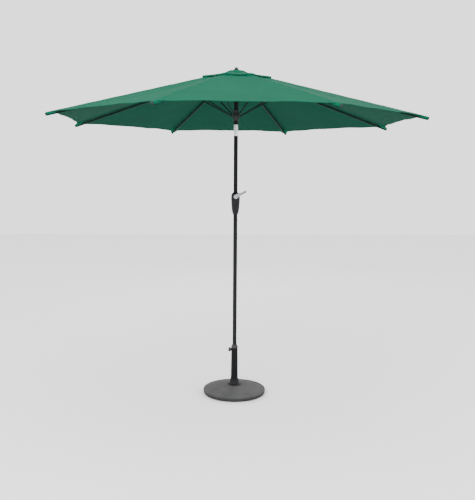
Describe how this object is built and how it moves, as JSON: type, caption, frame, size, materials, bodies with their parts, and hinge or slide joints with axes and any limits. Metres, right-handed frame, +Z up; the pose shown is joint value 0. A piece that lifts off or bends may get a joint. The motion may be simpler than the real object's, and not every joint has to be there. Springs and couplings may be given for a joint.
{
  "type": "patio umbrella with base",
  "caption": "Crank-lift patio umbrella: eight-rib green canopy with a vent cap, push-button tilt joint, steel pole, and a round weighted base with a clamp knob.",
  "frame": {"origin": "on the floor, under the feet, on the pole's axis", "axes": "+Z up along the pole; the crank faces -Y, the clamp knob faces -X, and the canopy tilts towards +X"},
  "size_m": [2.5018, 2.5018, 2.415],
  "materials": {
    "base_stone": "matte",
    "foot_rubber": "matte",
    "zinc_steel": "satin",
    "tube_paint": "satin",
    "pole_paint": "satin",
    "rib_paint": "satin",
    "cover_plastic": "satin",
    "black_plastic": "matte",
    "housing_plastic": "satin",
    "pale_plastic": "matte",
    "tilt_chrome": "polished",
    "arm_aluminium": "satin",
    "finial_plastic": "satin",
    "lift_cord": "matte",
    "canopy_cloth": "matte"
  },
  "bodies": {
    "base": {"base_weight": "base_stone", "base_feet": "foot_rubber", "base_bolt": "zinc_steel", "base_tube": "tube_paint", "tube_plug": "zinc_steel", "flared_cover": "cover_plastic", "lower_sleeve": "black_plastic", "tube_collar": "black_plastic"},
    "clamp": {"clamp_screw": "zinc_steel", "clamp_knob": "black_plastic"},
    "mast": {"pole_foot": "black_plastic", "lower_pole": "pole_paint", "housing_front": "housing_plastic", "housing_back": "housing_plastic", "housing_screws": "zinc_steel", "crank_bush": "pale_plastic", "tilt_fork": "tilt_chrome", "tilt_pin": "zinc_steel", "button_spring": "zinc_steel", "cord_lower": "lift_cord"},
    "button": {"tilt_button": "tilt_chrome"},
    "crank": {"crank_shaft": "zinc_steel", "crank_arm": "arm_aluminium", "crank_fasteners": "zinc_steel", "cord_wound": "lift_cord"},
    "crank_grip": {"crank_knob": "black_plastic"},
    "upper": {"tilt_tongue": "tilt_chrome", "upper_pole": "pole_paint", "hub": "black_plastic", "hub_pins": "zinc_steel", "hub_plug": "black_plastic", "cord_upper": "lift_cord", "finial": "finial_plastic", "cord_run": "lift_cord"},
    "pulley": {"pulley": "pale_plastic"},
    "runner": {"runner": "black_plastic"},
    "rib_0": {"rib_0": "rib_paint", "canopy_0": "canopy_cloth"},
    "rib_1": {"rib_1": "rib_paint", "canopy_1": "canopy_cloth"},
    "rib_2": {"rib_2": "rib_paint", "canopy_2": "canopy_cloth"},
    "rib_3": {"rib_3": "rib_paint", "canopy_3": "canopy_cloth"},
    "rib_4": {"rib_4": "rib_paint", "canopy_4": "canopy_cloth"},
    "rib_5": {"rib_5": "rib_paint", "canopy_5": "canopy_cloth"},
    "rib_6": {"rib_6": "rib_paint", "canopy_6": "canopy_cloth"},
    "rib_7": {"rib_7": "rib_paint", "canopy_7": "canopy_cloth"},
    "strut_0": {"strut_0": "rib_paint"},
    "strut_1": {"strut_1": "rib_paint"},
    "strut_2": {"strut_2": "rib_paint"},
    "strut_3": {"strut_3": "rib_paint"},
    "strut_4": {"strut_4": "rib_paint"},
    "strut_5": {"strut_5": "rib_paint"},
    "strut_6": {"strut_6": "rib_paint"},
    "strut_7": {"strut_7": "rib_paint"}
  },
  "joints": [
    {"name": "clamp_turn", "type": "hinge", "parent": "base", "child": "clamp", "pos_m": [-0.04, 0, 0.336], "axis": [-1, 0, 0], "range_deg": [0, 1080]},
    {"name": "mast_turn", "type": "hinge", "parent": "base", "child": "mast", "pos_m": [0, 0, 0.1], "axis": [0, 0, 1], "continuous": true},
    {"name": "tilt", "type": "hinge", "parent": "mast", "child": "upper", "pos_m": [0, 0, 1.96524], "axis": [0, -1, 0], "range_deg": [-35, 0]},
    {"name": "tilt_button_press", "type": "slide", "parent": "mast", "child": "button", "axis": [0, 1, 0], "range_m": [0, 0.0015], "stiffness_N_per_m": 400, "deforming": ["button_spring"]},
    {"name": "crank_turn", "type": "hinge", "parent": "mast", "child": "crank", "pos_m": [0, -0.053, 1.48443], "axis": [0, 1, 0], "range_deg": [0, 2880.5]},
    {"name": "crank_knob_spin", "type": "hinge", "parent": "crank", "child": "crank_grip", "pos_m": [0.068, -0.073, 1.52243], "axis": [0, -1, 0], "continuous": true},
    {"name": "pulley_spin", "type": "hinge", "parent": "upper", "child": "pulley", "pos_m": [0.0115, 0, 2.345], "axis": [0, 1, 0], "range_deg": [0, 3431.53]},
    {"name": "runner_slide", "type": "slide", "parent": "upper", "child": "runner", "axis": [0, 0, -1], "range_m": [0, 0.49682], "deforming": ["cord_run"]},
    {"name": "canopy_fold", "type": "hinge", "parent": "upper", "child": "rib_0", "pos_m": [0.02587, 0.01072, 2.378], "axis": [-0.3827, 0.9239, 0], "range_deg": [0, 70.2], "deforming": ["canopy_0"]},
    {"name": "rib_1_fold", "type": "hinge", "parent": "upper", "child": "rib_1", "pos_m": [0.01072, 0.02587, 2.378], "axis": [-0.9239, 0.3827, 0], "range_deg": [0, 70.21], "deforming": ["canopy_1"]},
    {"name": "rib_2_fold", "type": "hinge", "parent": "upper", "child": "rib_2", "pos_m": [-0.01072, 0.02587, 2.378], "axis": [-0.9239, -0.3827, 0], "range_deg": [0, 70.21], "deforming": ["canopy_2"]},
    {"name": "rib_3_fold", "type": "hinge", "parent": "upper", "child": "rib_3", "pos_m": [-0.02587, 0.01072, 2.378], "axis": [-0.3827, -0.9239, 0], "range_deg": [0, 70.21], "deforming": ["canopy_3"]},
    {"name": "rib_4_fold", "type": "hinge", "parent": "upper", "child": "rib_4", "pos_m": [-0.02587, -0.01072, 2.378], "axis": [0.3827, -0.9239, 0], "range_deg": [0, 70.21], "deforming": ["canopy_4"]},
    {"name": "rib_5_fold", "type": "hinge", "parent": "upper", "child": "rib_5", "pos_m": [-0.01072, -0.02587, 2.378], "axis": [0.9239, -0.3827, 0], "range_deg": [0, 70.21], "deforming": ["canopy_5"]},
    {"name": "rib_6_fold", "type": "hinge", "parent": "upper", "child": "rib_6", "pos_m": [0.01072, -0.02587, 2.378], "axis": [0.9239, 0.3827, 0], "range_deg": [0, 70.21], "deforming": ["canopy_6"]},
    {"name": "rib_7_fold", "type": "hinge", "parent": "upper", "child": "rib_7", "pos_m": [0.02587, -0.01072, 2.378], "axis": [0.3827, 0.9239, 0], "range_deg": [0, 70.21], "deforming": ["canopy_7"]},
    {"name": "strut_0_fold", "type": "hinge", "parent": "rib_0", "child": "strut_0", "pos_m": [0.37, 0.15326, 2.26159], "axis": [-0.3827, 0.9239, 0], "range_deg": [-129.96, 0]},
    {"name": "strut_1_fold", "type": "hinge", "parent": "rib_1", "child": "strut_1", "pos_m": [0.15326, 0.37, 2.26159], "axis": [-0.9239, 0.3827, 0], "range_deg": [-129.96, 0]},
    {"name": "strut_2_fold", "type": "hinge", "parent": "rib_2", "child": "strut_2", "pos_m": [-0.15326, 0.37, 2.26159], "axis": [-0.9239, -0.3827, 0], "range_deg": [-129.96, 0]},
    {"name": "strut_3_fold", "type": "hinge", "parent": "rib_3", "child": "strut_3", "pos_m": [-0.37, 0.15326, 2.26159], "axis": [-0.3827, -0.9239, 0], "range_deg": [-129.96, 0]},
    {"name": "strut_4_fold", "type": "hinge", "parent": "rib_4", "child": "strut_4", "pos_m": [-0.37, -0.15326, 2.26159], "axis": [0.3827, -0.9239, 0], "range_deg": [-129.96, 0]},
    {"name": "strut_5_fold", "type": "hinge", "parent": "rib_5", "child": "strut_5", "pos_m": [-0.15326, -0.37, 2.26159], "axis": [0.9239, -0.3827, 0], "range_deg": [-129.96, 0]},
    {"name": "strut_6_fold", "type": "hinge", "parent": "rib_6", "child": "strut_6", "pos_m": [0.15326, -0.37, 2.26159], "axis": [0.9239, 0.3827, 0], "range_deg": [-129.96, 0]},
    {"name": "strut_7_fold", "type": "hinge", "parent": "rib_7", "child": "strut_7", "pos_m": [0.37, -0.15326, 2.26159], "axis": [0.3827, 0.9239, 0], "range_deg": [-129.96, 0]}
  ],
  "couplings": [
    {"joint": "crank_turn", "follows": "canopy_fold", "ratio": 41.026},
    {"joint": "pulley_spin", "follows": "canopy_fold", "ratio": 48.854},
    {"joint": "runner_slide", "follows": "canopy_fold", "m_per_rad": 0.40549},
    {"joint": "rib_1_fold", "follows": "canopy_fold", "ratio": 1},
    {"joint": "rib_2_fold", "follows": "canopy_fold", "ratio": 1},
    {"joint": "rib_3_fold", "follows": "canopy_fold", "ratio": 1},
    {"joint": "rib_4_fold", "follows": "canopy_fold", "ratio": 1},
    {"joint": "rib_5_fold", "follows": "canopy_fold", "ratio": 1},
    {"joint": "rib_6_fold", "follows": "canopy_fold", "ratio": 1},
    {"joint": "rib_7_fold", "follows": "canopy_fold", "ratio": 1},
    {"joint": "strut_0_fold", "follows": "canopy_fold", "ratio": -1.8505},
    {"joint": "strut_1_fold", "follows": "canopy_fold", "ratio": -1.8505},
    {"joint": "strut_2_fold", "follows": "canopy_fold", "ratio": -1.8505},
    {"joint": "strut_3_fold", "follows": "canopy_fold", "ratio": -1.8505},
    {"joint": "strut_4_fold", "follows": "canopy_fold", "ratio": -1.8505},
    {"joint": "strut_5_fold", "follows": "canopy_fold", "ratio": -1.8505},
    {"joint": "strut_6_fold", "follows": "canopy_fold", "ratio": -1.8505},
    {"joint": "strut_7_fold", "follows": "canopy_fold", "ratio": -1.8505}
  ]
}
